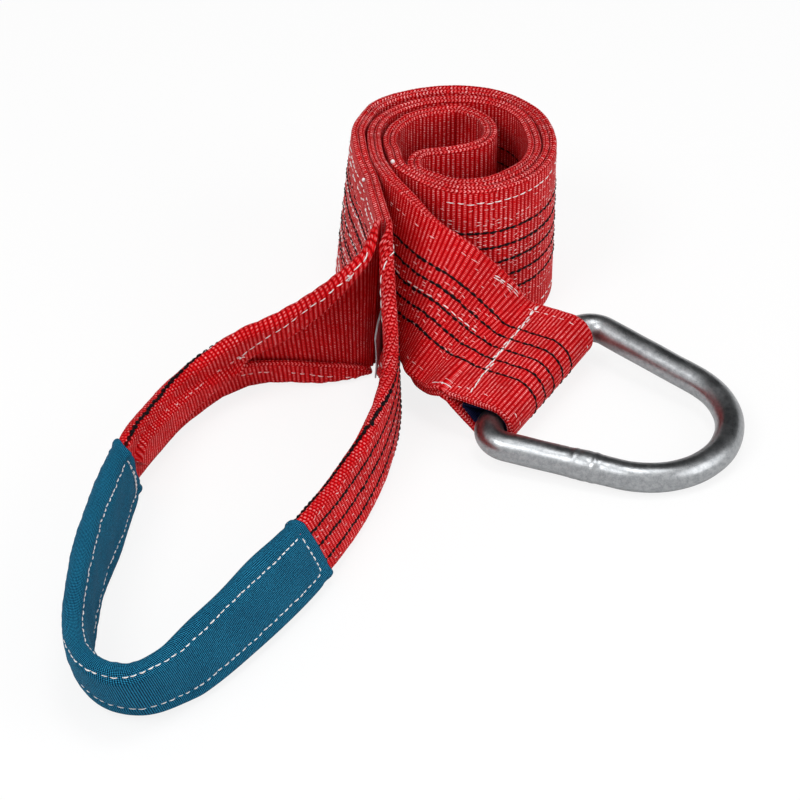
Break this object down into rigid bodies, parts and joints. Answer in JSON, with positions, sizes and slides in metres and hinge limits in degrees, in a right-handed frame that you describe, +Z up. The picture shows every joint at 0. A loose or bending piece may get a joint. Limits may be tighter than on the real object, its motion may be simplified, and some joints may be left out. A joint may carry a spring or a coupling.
{
  "type": "web sling",
  "caption": "Flat two-ply webbing sling, rolled up, with a welded ring sewn into one end and a folded soft eye with a wear sleeve at the other.",
  "frame": {"origin": "middle of the floor area that the rolled sling covers, on the floor", "axes": "+Z up along the roll's axis, +Y from the eye towards the roll, +X towards the ring's side"},
  "size_m": [0.2206, 0.2962, 0.0607],
  "materials": {
    "webbing": "ribbed woven webbing",
    "lining": "woven cloth",
    "ring_steel": "zinc plated",
    "sleeve_cloth": "fine twill",
    "label_cloth": "smooth woven label",
    "thread": "sewing thread"
  },
  "bodies": {
    "sling": {"outer_ply": "webbing", "inner_ply": "webbing", "ring_loop": "webbing", "loop_lining": "lining", "eye_panel": "webbing", "eye_upper_fold": "webbing", "eye_lower_fold": "webbing", "wear_sleeve": "sleeve_cloth", "label": "label_cloth", "upper_edge_seam": "thread", "lower_edge_seam": "thread", "middle_seams": "thread", "ring_cross_seam": "thread", "throat_seam": "thread", "sleeve_upper_seam": "thread", "sleeve_lower_seam": "thread", "sleeve_end_seams": "thread"},
    "ring": {"ring": "ring_steel"}
  },
  "joints": [
    {"name": "ring_swing", "type": "hinge", "parent": "sling", "child": "ring", "pos_m": [0.0391, 0.0296, 0.0103], "axis": [-0.5051, -0.861, -0.0593], "range_deg": [-140, 120]}
  ]
}
